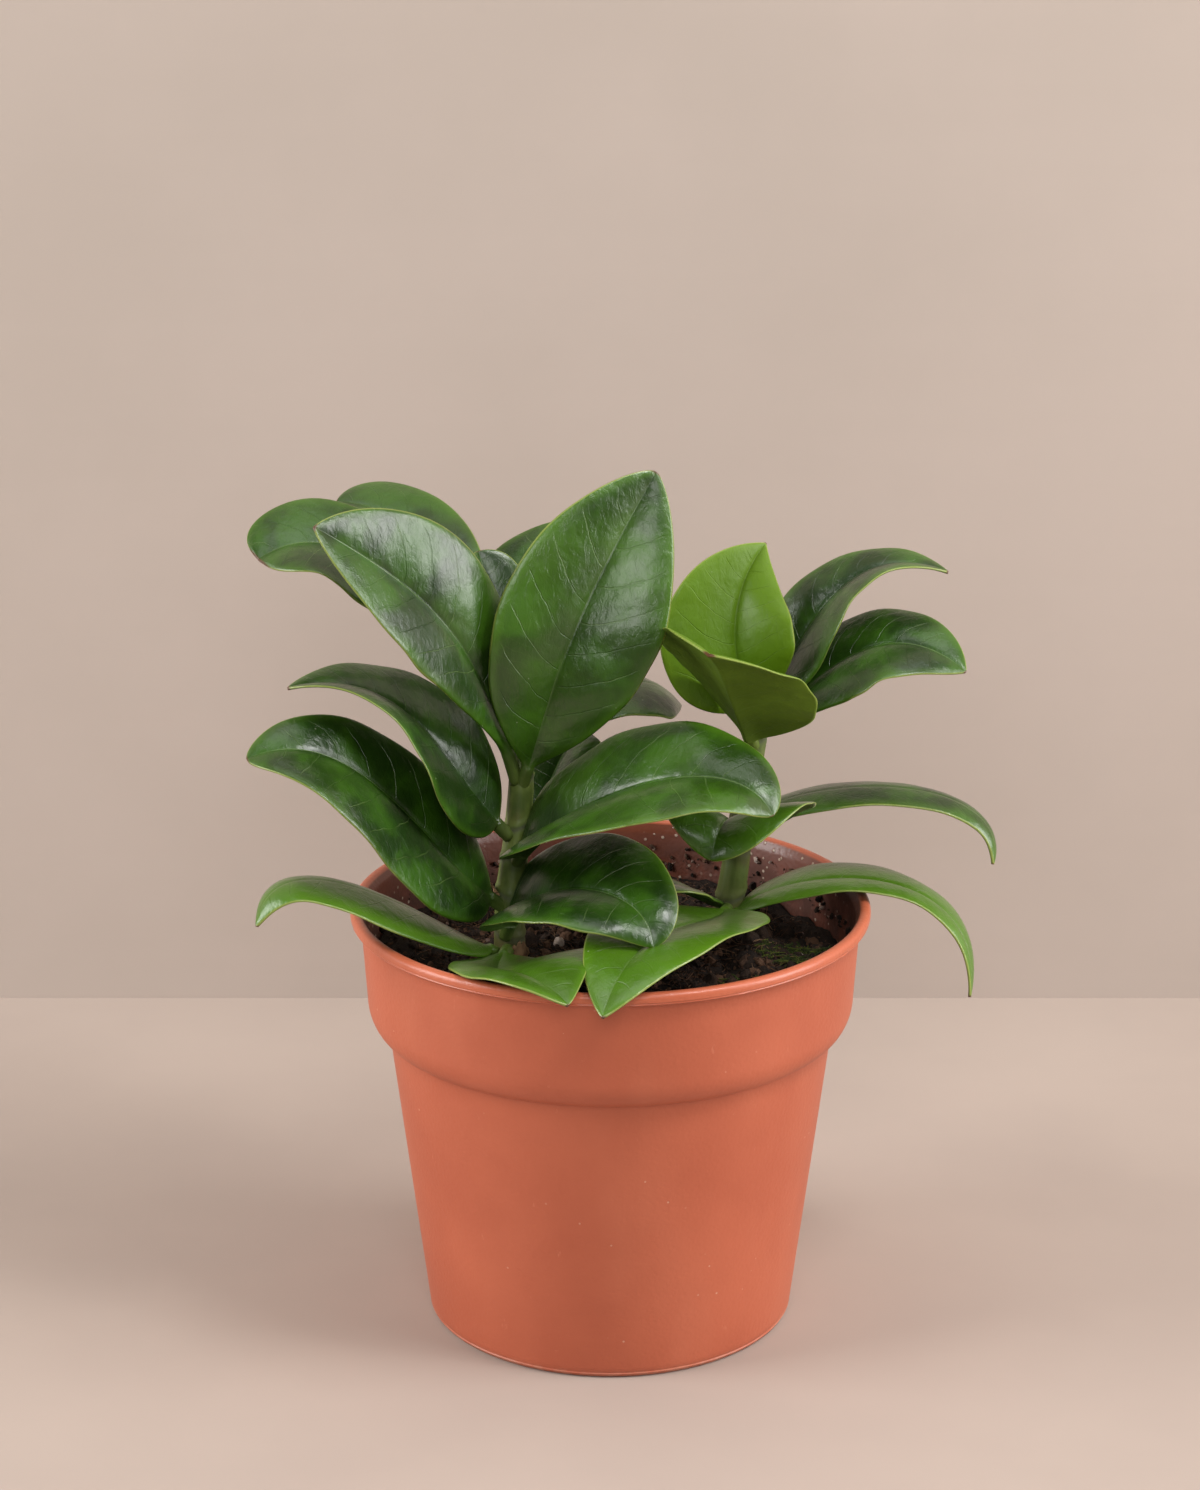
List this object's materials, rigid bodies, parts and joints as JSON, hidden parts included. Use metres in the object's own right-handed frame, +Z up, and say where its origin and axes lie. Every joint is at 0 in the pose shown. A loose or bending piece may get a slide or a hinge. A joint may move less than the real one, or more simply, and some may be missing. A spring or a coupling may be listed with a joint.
{
  "type": "potted zz plant",
  "caption": "Leafy house plant with broad glossy leaves on two upright stems, growing from dark soil in a round tapered plastic nursery pot with a stepped band and a thick lip.",
  "frame": {"origin": "centre of the pot's flat underside, on the pot's own axis", "axes": "+Z up along the pot's axis, +X to the right and +Y to the back as seen from the front"},
  "size_m": [0.1855, 0.1373, 0.2172],
  "materials": {
    "pot": "moulded terracotta-coloured plastic with a fine leathery grain, slightly smoother on the lip",
    "soil": "loose dark potting mix of peat, bark crumbs and coir fibres, fully matte",
    "stem": "smooth green stem with faint rings and brown papery scars at the nodes",
    "leaf": "waxy, glossy deep green leaf with a paler midrib, faint side veins and a thin yellow-green edge",
    "young_leaf": "young waxy leaf, brighter yellow-green, with a pale olive underside"
  },
  "bodies": {
    "root": {"pot": "pot", "soil": "soil", "stem_left": "stem", "stem_right": "stem", "leaf_left_01": "leaf", "leaf_left_02": "leaf", "leaf_left_03": "leaf", "leaf_left_04": "leaf", "leaf_left_05": "leaf", "leaf_left_06": "leaf", "leaf_left_07": "leaf", "leaf_left_08": "leaf", "leaf_left_09": "leaf", "leaf_left_10": "leaf", "leaf_left_11": "leaf", "leaf_left_12": "leaf", "leaf_left_13": "leaf", "leaf_left_14": "leaf", "leaf_left_15": "leaf", "leaf_right_01": "young_leaf", "leaf_right_02": "young_leaf", "leaf_right_03": "leaf", "leaf_right_04": "leaf", "leaf_right_05": "leaf", "leaf_right_06": "leaf", "leaf_right_07": "leaf", "leaf_right_08": "leaf", "leaf_right_09": "leaf"}
  },
  "joints": []
}
